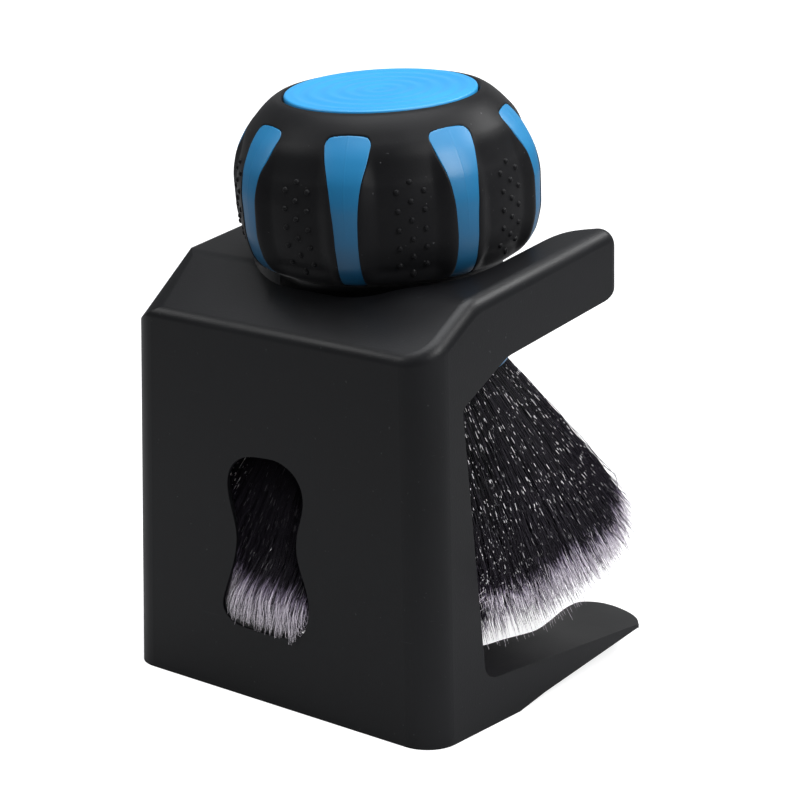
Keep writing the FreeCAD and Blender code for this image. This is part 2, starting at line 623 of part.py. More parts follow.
def make_tufts():
    """Tuft block with its drilled holes, the tufts, and the staples that hold them."""
    block = place_brush(Part.makeCylinder(TUFT_BLOCK_R, PLATE_S - TUFT_BLOCK_S, V(0, 0, -PLATE_S)))
    turn = FreeCAD.Rotation(V(0, 0, 1), BRUSH_AXIS)
    apex = on_axis(FAN_APEX_S)
    rings = []
    staples = []
    for axes in tuft_axes():
        ring_tufts = []
        ring_staples = []
        for upright_axis in axes:
            axis = turn.multVec(upright_axis)
            polar = math.acos(-upright_axis.z)
            mouth = apex + axis * ((PLATE_S - FAN_APEX_S) / math.cos(polar))
            bottom = mouth - axis * HOLE_DEPTH
            block = block.cut(Part.makeCylinder(HOLE_R + TUFT_GAP, HOLE_DEPTH + 3, bottom, axis))
            tip = bent_tip(mouth, apex + axis * dome_reach(polar))
            spread = TUFT_SPREAD_PRESSED if tip.y < FAN_MIDDLE_Y - 1 else TUFT_SPREAD
            end_r = (tip - apex).Length * math.tan(math.radians(spread))
            length, thick, height = STAPLE
            staple = Part.makeBox(length, thick, height, V(-length / 2, -thick / 2, 0))
            staple.Placement = FreeCAD.Placement(bottom, FreeCAD.Rotation(V(0, 0, 1), axis))
            ring_tufts.append(one_solid(make_tuft(mouth, bottom, axis, tip, end_r).cut(staple)))
            ring_staples.append(staple)
        rings.append(ring_tufts)
        staples.append(ring_staples)
    pilot_depth = SCREW_CORE_LENGTH + 10 * SLACK
    pilot = Part.makeCylinder(SCREW_CORE_R, pilot_depth, V(0, 0, -TUFT_BLOCK_S - pilot_depth))
    block = block.cut(place_brush(pilot))
    return one_solid(block), rings, staples


def make_screw():
    """Cross-headed screw, made about +Z like the brush."""
    seat = SCREW_SEAT - TUFT_BLOCK_S
    length, width, depth = SCREW_SLOT
    head = Part.makeCylinder(SCREW_HEAD_R, SCREW_HEAD, V(0, 0, seat))
    slot_z = seat + SCREW_HEAD - depth
    head = head.cut(Part.makeBox(length, width, SCREW_HEAD, V(-length / 2, -width / 2, slot_z)))
    head = head.cut(Part.makeBox(width, length, SCREW_HEAD, V(-width / 2, -length / 2, slot_z)))
    shank = Part.makeCylinder(SCREW_R, SCREW_SEAT, V(0, 0, -TUFT_BLOCK_S))
    core = Part.makeCylinder(SCREW_CORE_R, SCREW_CORE_LENGTH, V(0, 0, -TUFT_BLOCK_S - SCREW_CORE_LENGTH))
    return head.fuse(shank).fuse(core)


# ---------------------------------------------------------------- assembly

def build_all():
    nodes = {"stand_shell": make_stand()}
    core, grip = make_handle()
    nodes["handle_core"] = place_brush(core)
    nodes["grip_cover"] = place_brush(grip)
    nodes["top_cap"] = place_brush(make_top_cap())
    nodes["core_screw"] = place_brush(make_screw())
    block, rings, staples = make_tufts()
    nodes["tuft_block"] = block
    names = ["centre"] + ["ring_%d" % i for i in range(1, RINGS + 1)]
    for name, tufts, anchors in zip(names, rings, staples):
        nodes["tufts_" + name] = Part.makeCompound(tufts)
        nodes["staples_" + name] = Part.makeCompound(anchors)
    return nodes


def bottom_centre(shapes):
    """Bottom centre of the box round everything, from points on the surfaces themselves."""
    points = []
    for shape in shapes:
        points += shape.tessellate(0.02)[0]
    ys = [point.y for point in points]
    xs = [point.x for point in points]
    return V((min(xs) + max(xs)) / 2, (min(ys) + max(ys)) / 2, 0)


def main():
    nodes = build_all()
    origin = bottom_centre([nodes["stand_shell"], nodes["tufts_ring_%d" % RINGS]])
    os.makedirs("parts", exist_ok=True)
    for name, shape in nodes.items():
        moved = shape.copy()
        moved.translate(V(0, 0, 0) - origin)
        moved.exportStep("parts/%s.step" % name)
        print(name, len(moved.Solids), moved.isValid(), round(moved.Volume, 1))
    print("origin in the stand's frame", origin)


main()
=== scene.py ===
import json
import math

import bpy
import numpy as np
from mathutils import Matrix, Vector


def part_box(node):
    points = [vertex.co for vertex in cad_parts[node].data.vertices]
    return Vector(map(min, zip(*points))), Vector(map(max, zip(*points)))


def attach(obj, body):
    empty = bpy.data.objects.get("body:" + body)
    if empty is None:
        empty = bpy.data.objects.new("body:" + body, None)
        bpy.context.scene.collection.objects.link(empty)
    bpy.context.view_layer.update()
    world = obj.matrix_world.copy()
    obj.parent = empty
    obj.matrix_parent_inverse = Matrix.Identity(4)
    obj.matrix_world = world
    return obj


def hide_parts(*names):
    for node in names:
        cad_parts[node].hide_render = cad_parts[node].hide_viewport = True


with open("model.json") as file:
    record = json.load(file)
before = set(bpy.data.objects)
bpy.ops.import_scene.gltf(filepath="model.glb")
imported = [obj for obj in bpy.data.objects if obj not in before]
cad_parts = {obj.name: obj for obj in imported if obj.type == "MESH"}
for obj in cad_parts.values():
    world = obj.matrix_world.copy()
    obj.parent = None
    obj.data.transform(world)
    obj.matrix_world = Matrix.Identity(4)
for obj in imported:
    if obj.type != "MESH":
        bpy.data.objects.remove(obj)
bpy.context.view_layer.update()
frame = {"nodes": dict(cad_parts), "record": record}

MM = 0.001

# Places are in millimetres in the stand's own frame: x across, y from the front wall's face, z up.
WALL_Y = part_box("stand_shell")[0].y / MM


def at(x, y, z):
    """A point of the stand's frame, in the scene's metres."""
    return Vector((x * MM, (y + WALL_Y) * MM, z * MM))


# ---------------------------------------------------------------- camera

CAMERA_AT = (323.3, -362.3, 200.6)
CAMERA_AZIMUTH = 38.8
CAMERA_ELEVATION = 15.42
LENS = 111.7


def make_camera():
    a = math.radians(CAMERA_AZIMUTH)
    e = math.radians(CAMERA_ELEVATION)
    back = Vector((math.sin(a) * math.cos(e), -math.cos(a) * math.cos(e), math.sin(e)))
    data = bpy.data.cameras.new("camera")
    data.sensor_width = 36.0
    data.lens = LENS
    data.clip_start = 0.01
    camera = bpy.data.objects.new("camera", data)
    bpy.context.scene.collection.objects.link(camera)
    camera.location = at(*CAMERA_AT)
    camera.rotation_mode = "QUATERNION"
    camera.rotation_quaternion = (-back).to_track_quat("-Z", "Y")
    bpy.context.scene.camera = camera


# ---------------------------------------------------------------- material helpers

def new_material(name):
    material = bpy.data.materials.new(name)
    material.use_nodes = True
    tree = material.node_tree
    return material, tree, tree.nodes["Principled BSDF"]


def object_place(tree):
    """Texture coordinates in the object's own space."""
    return tree.nodes.new("ShaderNodeTexCoord").outputs["Object"]


def noise(tree, scale, detail=4.0, roughness=0.55, coords=None):
    made = tree.nodes.new("ShaderNodeTexNoise")
    made.inputs["Scale"].default_value = scale
    made.inputs["Detail"].default_value = detail
    made.inputs["Roughness"].default_value = roughness
    tree.links.new(object_place(tree) if coords is None else coords, made.inputs["Vector"])
    return made.outputs["Fac"]


def ramp(tree, source, stops):
    """Colours along a value; stops are (position, colour)."""
    made = tree.nodes.new("ShaderNodeValToRGB")
    elements = made.color_ramp.elements
    elements[0].position, elements[0].color = stops[0][0], (*stops[0][1], 1)
    elements[1].position, elements[1].color = stops[-1][0], (*stops[-1][1], 1)
    for position, colour in stops[1:-1]:
        elements.new(position).color = (*colour, 1)
    tree.links.new(source, made.inputs["Fac"])
    return made.outputs["Color"]


def above(tree, source, low, high):
    """0 where the source is under `low`, rising to 1 at `high`."""
    return ramp(tree, source, [(low, (0, 0, 0)), (high, (1, 1, 1))])


def spread(tree, source, low, high, from_low=0.3, from_high=0.7):
    """The source's range (by default, about what a noise gives) mapped to low..high."""
    made = tree.nodes.new("ShaderNodeMapRange")
    made.inputs["From Min"].default_value = from_low
    made.inputs["From Max"].default_value = from_high
    made.inputs["To Min"].default_value = low
    made.inputs["To Max"].default_value = high
    tree.links.new(source, made.inputs["Value"])
    return made.outputs["Result"]


def portion(tree, source, low, high):
    """The same for a source that runs from 0 to 1."""
    return spread(tree, source, low, high, 0.0, 1.0)


def calculate(tree, operation, *values):
    """A math node; each value is a socket or a number."""
    made = tree.nodes.new("ShaderNodeMath")
    made.operation = operation
    for value, socket in zip(values, made.inputs):
        if isinstance(value, float):
            socket.default_value = value
        else:
            tree.links.new(value, socket)
    return made.outputs[0]


def bump(tree, shader, layers):
    """Chain bump nodes; layers are (height source, strength, distance in metres)."""
    normal = None
    for height, strength, distance in layers:
        made = tree.nodes.new("ShaderNodeBump")
        made.inputs["Strength"].default_value = strength
        made.inputs["Distance"].default_value = distance
        tree.links.new(height, made.inputs["Height"])
        if normal is not None:
            tree.links.new(normal, made.inputs["Normal"])
        normal = made.outputs["Normal"]
    tree.links.new(normal, shader.inputs["Normal"])


def mixed(tree, factor, a, b):
    """Colour a where the factor is 0, b where it is 1; each is a socket or a tuple."""
    made = tree.nodes.new("ShaderNodeMix")
    made.data_type = "RGBA"
    tree.links.new(factor, made.inputs["Factor"])
    for value, socket in ((a, made.inputs[6]), (b, made.inputs[7])):
        if isinstance(value, tuple):
            socket.default_value = (*value, 1)
        else:
            tree.links.new(value, socket)
    return made.outputs[2]


def surface(tree, shader, colour, roughness, **constants):
    """Connect colour and roughness, and set the other sockets, which are named with underscores."""
    tree.links.new(colour, shader.inputs["Base Color"])
    tree.links.new(roughness, shader.inputs["Roughness"])
    for socket, value in constants.items():
        shader.inputs[socket.replace("_", " ")].default_value = value


# ---------------------------------------------------------------- materials

def stand_material():
    """Satin black moulding: fine spark-eroded grain, faint cloudiness, pale dust and hairline scuffs."""
    material, tree, shader = new_material("stand_plastic")
    cloud = noise(tree, 28.0, 3.0)
    ripple = noise(tree, 90.0, 2.0)
    grain = noise(tree, 2600.0, 2.0)
    dust = above(tree, noise(tree, 900.0, 2.0, 0.5), 0.72, 0.80)
    stretch = tree.nodes.new("ShaderNodeMapping")
    stretch.inputs["Scale"].default_value = (40.0, 300.0, 1500.0)
    stretch.inputs["Rotation"].default_value = (0.3, 0.2, 0.5)
    tree.links.new(object_place(tree), stretch.inputs["Vector"])
    scuffs = above(tree, noise(tree, 1.0, 3.0, 0.6, stretch.outputs["Vector"]), 0.70, 0.76)
    colour = ramp(tree, cloud, [(0.3, (0.0045, 0.0047, 0.0056)), (0.7, (0.0075, 0.0079, 0.0094))])
    colour = mixed(tree, portion(tree, dust, 0.0, 0.10), colour, (0.30, 0.30, 0.31))
    colour = mixed(tree, portion(tree, scuffs, 0.0, 0.05), colour, (0.22, 0.22, 0.23))
    surface(tree, shader, colour, spread(tree, cloud, 0.34, 0.46), Specular_IOR_Level=0.30)
    bump(tree, shader, [(ripple, 0.10, 0.0004), (grain, 0.35, 0.00006)])
    return material


def rubber_material():
    """Soft-touch rubber: very dark, satin, with a slightly greasy bloom and a little pale dust."""
    material, tree, shader = new_material("grip_rubber")
    cloud = noise(tree, 60.0, 4.0)
    grain = noise(tree, 3200.0, 2.0)
    dust = above(tree, noise(tree, 1100.0, 2.0, 0.5), 0.73, 0.80)
    colour = ramp(tree, cloud, [(0.3, (0.0055, 0.0056, 0.0064)), (0.7, (0.0100, 0.0100, 0.0112))])
    colour = mixed(tree, portion(tree, dust, 0.0, 0.22), colour, (0.40, 0.40, 0.42))
    surface(tree, shader, colour, spread(tree, cloud, 0.38, 0.50), Specular_IOR_Level=0.13, Sheen_Weight=0.02)
    bump(tree, shader, [(grain, 0.3, 0.00005)])
    return material


def blue_material(name, pale, deep, roughness, foot_shade=1.0):
    """Sky-blue moulded plastic with faint flow marks.

    The last argument paints shade: it darkens the colour from the knob's upper part down to its shoulder,
    where the seat shades it, but not on the collar below.
    """
    material, tree, shader = new_material(name)
    flow = noise(tree, 45.0, 3.0)
    grain = noise(tree, 2400.0, 2.0)
    parts = tree.nodes.new("ShaderNodeSeparateXYZ")
    tree.links.new(object_place(tree), parts.inputs["Vector"])
    # Painted shade: full colour on the knob's upper part and on the collar, the darkened deep tone at the
    # shoulder between.
    up_the_knob = spread(tree, parts.outputs["Z"], 0.0, 1.0, 0.090, 0.118)
    down_to_collar = spread(tree, parts.outputs["Z"], 1.0, 0.0, 0.076, 0.084)
    full = calculate(tree, "MAXIMUM", up_the_knob, down_to_collar)
    tone = ramp(tree, flow, [(0.3, deep), (0.7, pale)])
    # the painted shade's colour: the deep tone scaled down
    low = tuple(channel * foot_shade for channel in deep)
    colour = mixed(tree, full, low, tone)
    roughness = spread(tree, flow, roughness - 0.05, roughness + 0.07)
    surface(tree, shader, colour, roughness, Subsurface_Weight=0.08, Subsurface_Scale=0.002,
            Subsurface_Radius=(0.2, 0.6, 1.0))
    bump(tree, shader, [(flow, 0.05, 0.0003), (grain, 0.15, 0.00003)])
    return material


def steel_material():
    """Zinc-plated steel of the hidden screw and staples."""
    material, tree, shader = new_material("plated_steel")
    cloud = noise(tree, 400.0, 3.0)
    colour = ramp(tree, cloud, [(0.3, (0.50, 0.50, 0.51)), (0.7, (0.66, 0.66, 0.67))])
    surface(tree, shader, colour, spread(tree, cloud, 0.25, 0.42), Metallic=1.0)
    bump(tree, shader, [(cloud, 0.15, 0.00005)])
    return material


# The filament attribute holds, in red, the distance from the tip in units of ATTRIBUTE_MM; in green, a
# random value for each filament; in blue, the painted-light weight: how strongly its painted glints show,
# and, where low, the painted shade of the pressed side.
ATTRIBUTE_MM = 80.0
TIP_MM = 7.0            # length of the pale tips, and how much it varies from filament to filament
TIP_VARIES = 3.5
TIP_SOFT = 1.2          # over about this length the tip's tone changes to black
DASH_ACROSS = 900.0     # how fast the painted glint dashes change from filament to filament, and along one
DASH_ALONG = 20.0


def bristle_material():
    """Black filaments with lilac-white tips, with painted glint dashes and painted shade where the wall
    presses them.
    """
    material, tree, shader = new_material("bristle_filament")
    data = tree.nodes.new("ShaderNodeAttribute")
    data.attribute_name = "filament"
    split = tree.nodes.new("ShaderNodeSeparateColor")
    tree.links.new(data.outputs["Color"], split.inputs["Color"])
    from_tip, own, painted_light_weight = split.outputs["Red"], split.outputs["Green"], split.outputs["Blue"]
    along = calculate(tree, "MULTIPLY_ADD", own, TIP_VARIES / ATTRIBUTE_MM, from_tip)
    edge = (TIP_MM + TIP_VARIES) / ATTRIBUTE_MM
    soft = TIP_SOFT / ATTRIBUTE_MM
    colour = ramp(tree, along, [
        (0.0, (0.84, 0.80, 0.86)), (edge - 3 * soft, (0.74, 0.68, 0.78)), (edge - soft, (0.24, 0.20, 0.29)),
        (edge + soft, (0.010, 0.008, 0.013)), (1.0, (0.0045, 0.0045, 0.0055))])
    # Some filaments are dark to the tip. Painted shade: all are darker where they are pressed by the wall,
    # where the painted-light weight is low.
    dark = above(tree, own, 0.76, 0.81)
    colour = mixed(tree, portion(tree, dark, 0.0, 0.85), colour, (0.014, 0.012, 0.017))
    colour = mixed(tree, spread(tree, painted_light_weight, 0.35, 0.0, 0.08, 0.5), colour, (0.006, 0.006, 0.007))
    # Painted glints: short light dashes mixed into the base colour, standing in for crimps in a filament
    # catching the light.
    place = tree.nodes.new("ShaderNodeCombineXYZ")
    tree.links.new(calculate(tree, "MULTIPLY", own, DASH_ACROSS), place.inputs["X"])
    tree.links.new(calculate(tree, "MULTIPLY", from_tip, DASH_ALONG), place.inputs["Y"])
    painted_glint = above(tree, noise(tree, 1.0, 1.0, 0.5, place.outputs["Vector"]), 0.652, 0.675)
    colour = mixed(tree, calculate(tree, "MULTIPLY", painted_glint, painted_light_weight), colour, (0.78, 0.77, 0.80))
    surface(tree, shader, colour, portion(tree, own, 0.38, 0.52), Specular_IOR_Level=0.07)
    bump(tree, shader, [(noise(tree, 1500.0, 2.0), 0.2, 0.00004)])
    return material


# ---------------------------------------------------------------- the brush's own frame

# Brush coordinates, in mm: x across, y across the axis (the front is negative), s down it from the disc.
LEAN = math.radians(5.2)
AXIS = Vector((0, -math.sin(LEAN), math.cos(LEAN)))
ACROSS = Vector((0, math.cos(LEAN), math.sin(LEAN)))
DISC_CENTRE = Vector((0, 33.4, 126.2))


def to_stand(x, y, s):
    """Brush coordinates to the stand's frame, both in mm."""
    return x, DISC_CENTRE.y + y * ACROSS.y - s * AXIS.y, DISC_CENTRE.z + y * ACROSS.z - s * AXIS.z


def to_scene(x, y, z):
    """Arrays in the stand's frame to an array of points in the scene's metres."""
    return np.stack([x, y + WALL_Y, z], axis=-1) * MM


def brush_ring(r, turn, s):
    """Points at radius r and the given angles; r and s are numbers, or arrays like the angles."""
    s = np.broadcast_to(s, np.shape(turn))
    return to_scene(*to_stand(r * np.sin(turn), -r * np.cos(turn), s))


def on_axis(s):
    return brush_ring(0.0, np.zeros(1), s)


def smooth_curve(points):
    """A smooth interpolation (monotone cubic) through (s, value) points."""
    xs = np.array([p[0] for p in points], float)
    ys = np.array([p[1] for p in points], float)
    h = np.diff(xs)
    d = np.diff(ys) / h
    m = np.zeros(len(xs))
    m[1:-1] = [0.0 if a * b <= 0 else 2 * a * b / (a + b) for a, b in zip(d[:-1], d[1:])]
    m[0], m[-1] = d[0], d[-1]

    def value(x):
        x = np.asarray(x, float)
        i = np.clip(np.searchsorted(xs, x) - 1, 0, len(h) - 1)
        t = (x - xs[i]) / h[i]
        return ((2 * t**3 - 3 * t**2 + 1) * ys[i] + (t**3 - 2 * t**2 + t) * h[i] * m[i]
                + (-2 * t**3 + 3 * t**2) * ys[i + 1] + (t**3 - t**2) * h[i] * m[i + 1])
    return value


def rise(x, start, end):
    """0 at `start`, 1 at `end`, smooth between and level beyond; it falls where `end` is the smaller."""
    x = np.clip((x - start) / (end - start), 0, 1)
    return x * x * (3 - 2 * x)


def link(name, mesh, material):
    obj = bpy.data.objects.new(name, mesh)
    bpy.context.scene.collection.objects.link(obj)
    mesh.materials.append(material)
    mesh.shade_smooth()
    return obj


def mesh_from(name, points, faces):
    mesh = bpy.data.meshes.new(name)
    mesh.from_pydata([tuple(p) for p in points], [], faces)
    mesh.validate()
    mesh.update()
    return mesh


def grid_faces(rows, columns, start=0, flip=False):
    """Quads of a rows x columns grid of points whose columns wrap round."""
    faces = []
    for i in range(rows - 1):
        for j in range(columns):
            k = (j + 1) % columns
            quad = (start + i * columns + j, start + i * columns + k,
                    start + (i + 1) * columns + k, start + (i + 1) * columns + j)
            faces.append(quad[::-1] if flip else quad)
    return faces


# ---------------------------------------------------------------- handle

knob_radius = smooth_curve([                # (s, radius)
    (0.0, 21.0), (1.5, 23.4), (4.0, 26.0), (8.0, 29.2), (13.0, 31.6), (18.0, 32.4), (24.0, 32.3),
    (29.0, 31.3), (31.6, 30.0), (33.2, 28.4), (34.3, 26.3), (35.2, 24.4), (37.2, 23.6), (42.0, 23.4),
    (58.0, 23.4)])
stripe_half = smooth_curve([                # (s, half of the stripe's width)
    (0.0, 4.8), (4.5, 4.78), (7.6, 4.4), (10.9, 3.65), (14.1, 3.1), (17.0, 2.78), (20.4, 2.52), (24.0, 2.4),
    (28.0, 2.36), (36.0, 2.4), (60.0, 2.4)])
STRIPES = 8
STRIPE_TURN = 24.3          # degrees from the front to the first stripe
STRIPE_TOP = 3.6
STRIPE_END = 33.9
STRIPE_CORNER = 1.4
STRIPE_BOW = 0.5            # the stripe's top edge is this much lower at its corners
GRIP_END = 51.0
PITCH = 2 * math.pi / STRIPES

# The grid shared by grip and core: rows down the axis, and columns that follow the stripes' edges.
ROWS = np.concatenate([
    np.array([0.0, 0.12, 0.3, 0.6, 1.0, 1.5, 2.0, 2.5, 2.9]), np.arange(3.1, 5.9, 0.11),
    np.arange(6.0, 33.0, 0.5), np.arange(33.0, 38.0, 0.28), np.arange(38.0, GRIP_END, 1.2),
    np.array([GRIP_END - 0.3, GRIP_END])])
INSIDE = np.array([0.0, 0.05, 0.11, 0.3, 0.6, 0.85])        # shares of the stripe's half, less the edge
EDGE = 1.2                                                  # width kept for the steps at the edge, mm
EDGE_STEPS = np.array([-1.1, -0.9, -0.72, -0.56, -0.42, -0.3, -0.2, -0.1, 0.0, 0.1, 0.2, 0.32, 0.5, 0.8])
PANEL_COLUMNS = 36

FLUTE_DEPTH = 1.4
RUBBER_PROUD = 0.12         # the rubber stands this far above the knob's profile
RUBBER_SUNK = 0.9           # its edge goes this far down beside a rib
RUBBER_LIP = 0.35           # rounding at the top
RUBBER_THICK = 2.2
INNER_ROWS = 8              # the rubber's inner side uses one row in this many
RIB_CROWN = 0.10
CORE_DEPTH = 1.9            # the core lies this far under the profile between the ribs
CORE_TOP_S = 2.4
MOULD_LINE = 0.035
MOULD_LINE_WIDTH = 0.09
COLLAR = [                  # (radius, s)
    (21.3, GRIP_END + 0.1), (23.8, GRIP_END + 0.1), (24.2, GRIP_END + 0.25), (24.4, GRIP_END + 0.6),
    (24.4, 57.6), (24.2, 58.1), (23.8, 58.3), (22.8, 58.2), (21.6, 57.4), (20.45, 57.0), (20.45, 56.0)]


def sector_columns(s, radius):
    """Angles across one sector, from stripe centre to stripe centre, that follow the stripe's edges."""
    half = stripe_half(s)
    left = np.concatenate([INSIDE * (half - EDGE), half + EDGE_STEPS]) / radius
    start = left[-1]
    stop = PITCH - left[-1]
    middle = start + (stop - start) * (np.arange(1, PANEL_COLUMNS) / PANEL_COLUMNS)
    right = PITCH - left[::-1][:-1]
    return np.concatenate([left, middle, right])


def outside_stripe(u, s):
    """Signed distance in mm from the stripe's outline: positive in the rubber."""
    half = stripe_half(s)
    dx = np.abs(u) - (half - STRIPE_CORNER)
    dy = (STRIPE_TOP + STRIPE_BOW * (u / half) ** 2 + STRIPE_CORNER) - s
    corner = np.hypot(np.maximum(dx, 0), np.maximum(dy, 0)) + np.minimum(np.maximum(dx, dy), 0)
    return np.maximum(corner - STRIPE_CORNER, s - STRIPE_END)


def flute(panel, s):
    """Depth of the shallow recess in each rubber panel: soft walls beside the stripes, an even floor."""
    across = rise(np.abs(panel), 0.76, 0.46)
    along = rise(s, 5.0, 12.0) * rise(s, 34.0, 31.0)
    return FLUTE_DEPTH * across * along


def handle_grid():
    """For each point: its angle, s, distance from the nearest stripe's middle, and place across the panel."""
    angles, svals, u, panel = [], [], [], []
    for s in ROWS:
        radius = float(knob_radius(s))
        sector = sector_columns(s, radius)
        for i in range(STRIPES):
            angles.append(math.radians(STRIPE_TURN) + i * PITCH + sector)
            svals.append(np.full(len(sector), s))
            nearest = np.where(sector > PITCH / 2, sector - PITCH, sector)
            u.append(nearest * radius)
            panel.append((sector - PITCH / 2) / (PITCH / 2))
    columns = len(sector) * STRIPES
    return np.concatenate(angles), np.concatenate(svals), np.concatenate(u), np.concatenate(panel), columns


def profile_normal(s):
    """The profile's normal: its part outward, and its part along s."""
    ds = 0.2
    above_s = np.maximum(s - ds, 0)
    slope = (knob_radius(s + ds) - knob_radius(above_s)) / (s + ds - above_s)
    length = np.hypot(1, slope)
    return 1 / length, -slope / length


def shell_points(angles, s, offset):
    """Points on the knob's profile, moved out along its normal by the offset."""
    out_r, out_s = profile_normal(s)
    return brush_ring(knob_radius(s) + offset * out_r, angles, s + offset * out_s)


def make_grip(material):
    """The rubber cover, sunk beside the ribs, with its flutes and dots."""
    angles, s, u, panel, columns = handle_grid()
    away = outside_stripe(u, s)
    proud = RUBBER_PROUD * rise(away, 0.0, 0.30)
    sunk = RUBBER_SUNK * rise(away, 0.0, -0.22)
    offset = proud - sunk - flute(panel, s) - RUBBER_LIP * rise(s, 0.6, 0.0)
    rows = len(ROWS)
    outer = shell_points(angles, s, offset)
    inner_rows = np.unique(np.append(np.arange(0, rows, INNER_ROWS), rows - 1))
    inner = shell_points(angles, s, np.full(len(s), -RUBBER_THICK))
    inner = inner.reshape(rows, columns, 3)[inner_rows].reshape(-1, 3)
    points = np.concatenate([outer, inner])
    n = rows * columns
    faces = grid_faces(rows, columns)
    faces += grid_faces(len(inner_rows), columns, n, flip=True)
    last = (rows - 1) * columns
    inner_last = n + (len(inner_rows) - 1) * columns
    for j in range(columns):
        k = (j + 1) % columns
        faces.append((k, j, n + j, n + k))
        faces.append((last + j, last + k, inner_last + k, inner_last + j))
    dots, dot_faces = make_dots(len(points))
    mesh = mesh_from("grip_skin", np.concatenate([points, dots]), faces + dot_faces)
    return link("grip_skin", mesh, material)


DOT_ROWS = 6
DOT_PITCH = 3.98
DOT_COLUMN = 2.85
DOT_FIRST = 11.9            # first dot of the centre column; the outer columns start half a pitch lower
DOT_TURN = 1.8              # degrees that the dots lie off the panel's middle
DOT_R = 0.62
DOT_HEIGHT = 0.50
DOT_RING = 12               # points round a dot
DOT_PROFILE = [             # shares of the radius and of the height
    (1.12, -0.12), (1.0, 0.0), (0.92, 0.45), (0.7, 0.8), (0.38, 0.97)]


def make_dots(start):
    """Raised grip dots: a centre column, and two level outer columns half a pitch lower."""
    turn = np.arange(DOT_RING) * 2 * math.pi / DOT_RING
    points, faces = [], []
    centre_rows = [DOT_FIRST + DOT_PITCH * i for i in range(DOT_ROWS)]
    outer_rows = [DOT_FIRST + DOT_PITCH * (i + 0.5) for i in range(DOT_ROWS - 1)]
    columns = ((-DOT_COLUMN, outer_rows), (0.0, centre_rows), (DOT_COLUMN, outer_rows))
    places = [(column, s) for column, rows in columns for s in rows]
    for sector in range(STRIPES):
        centre = math.radians(STRIPE_TURN) + (sector + 0.5) * PITCH
        for column, s0 in places:
            radius = float(knob_radius(s0))
            across = column + math.radians(DOT_TURN) * radius
            first = start + len(points)
            for share, up in DOT_PROFILE + [(0.0, 1.0)]:
                around = turn if share else turn[:1]
                angle = (across + DOT_R * share * np.cos(around)) / radius
                s = s0 + DOT_R * share * np.sin(around)
                level = -flute(angle / (PITCH / 2), s) + DOT_HEIGHT * up + RUBBER_PROUD
                points += list(shell_points(centre + angle, s, level))
            apex = first + DOT_RING * len(DOT_PROFILE)
            faces += grid_faces(len(DOT_PROFILE), DOT_RING, first, flip=True)
            last = apex - DOT_RING
            for j in range(DOT_RING):
                faces.append((last + j, apex, last + (j + 1) % DOT_RING))
    return np.array(points), faces


def make_core(material):
    """The core's eight ribs, flush with the rubber, on its hidden body; with the neck's collar."""
    angles, s, u, _, columns = handle_grid()
    away = outside_stripe(u, s)
    crown = RIB_CROWN * (1 - np.clip(np.abs(u) / np.maximum(stripe_half(s), 0.1), 0, 1) ** 2)
    crown = crown + MOULD_LINE * np.exp(-(u / MOULD_LINE_WIDTH) ** 2) * rise(s, 28.0, 10.0)
    hidden = rise(away, 0.02, 0.27)
    outer = shell_points(angles, s, crown * (1 - hidden) - CORE_DEPTH * hidden)
    n = len(outer)
    faces = grid_faces(len(ROWS), columns)
    for j in range(columns):
        faces.append(((j + 1) % columns, j, n))
    turn = np.linspace(0, 2 * math.pi, columns, endpoint=False)
    collar = [brush_ring(r, turn, s1) for r, s1 in COLLAR]
    faces += grid_faces(len(COLLAR), columns, n + 1)
    mesh = mesh_from("handle_ribs", np.concatenate([outer, on_axis(CORE_TOP_S)] + collar), faces)
    return link("handle_ribs", mesh, material)


def revolve(name, profile, segments, material):
    """A closed solid of revolution from (radius, s) points; the first and last are on the axis."""
    turn = np.linspace(0, 2 * math.pi, segments, endpoint=False)
    rings = [brush_ring(r, turn, s) for r, s in profile[1:-1]]
    ends = [on_axis(profile[0][1]), on_axis(profile[-1][1])]
    faces = grid_faces(len(rings), segments)
    n = len(rings) * segments
    for j in range(segments):
        k = (j + 1) % segments
        faces.append((k, j, n))
        faces.append((n - segments + j, n - segments + k, n + 1))
    return link(name, mesh_from(name, np.concatenate(rings + ends), faces), material)


DISC_R = 20.1
DISC_RISE = 0.10            # height of the disc's face over the knob's top
RIPPLES = 5.5
RIPPLE_HEIGHT = 0.08


def make_cap(material):
    """The rippled disc."""
    profile = [(0.0, -0.16)]
    for r in np.linspace(0.5, DISC_R - 1.0, 90):
        phase = math.cos(2 * math.pi * r * RIPPLES / DISC_R)
        fade = rise(r, DISC_R - 0.8, DISC_R - 2.3)
        profile.append((r, -DISC_RISE - RIPPLE_HEIGHT * phase * fade))
    profile += [(DISC_R - 0.55, -0.14), (DISC_R - 0.3, -0.10), (DISC_R - 0.1, 0.02), (DISC_R, 0.25),
                (DISC_R, 2.1), (0.0, 2.1)]
    return revolve("ripple_disc", profile, 220, material)


# ---------------------------------------------------------------- bristles

ROOT_S = 56.0               # the filaments start here, in the block
APEX_S = 28.7               # where their straight lines would meet
FAN_MAX = math.radians(36.3)
dome = smooth_curve([                       # (radius, s) of the free end
    (0.0, 117.2), (12.0, 116.8), (22.0, 115.5), (30.0, 113.5), (36.0, 111.4), (41.9, 107.6), (46.6, 102.7),
    (50.0, 96.5), (53.0, 88.0)])
DOME_R = 53.0
FILAMENT_R = 0.09
TAPER = 0.2                 # last share of a filament, over which it tapers, and by how much
TAPER_BY = 0.75

# How much filaments differ.
REACH_SHARE = 0.012
REACH_MM = 0.5
TILT = 0.014
STRAYS = 0.02               # this share of them strays, this many times further
STRAY_FACTOR = 3.0
WAVE = 0.20                 # size of the waves, least and further; and waves for each point of the line
WAVE_MORE = 0.20
WAVES = 0.20
WAVES_MORE = 0.08
BOW_OUT = 0.55              # the outermost filaments bow outward on the way, and inward at the end
BOW_IN = 1.6

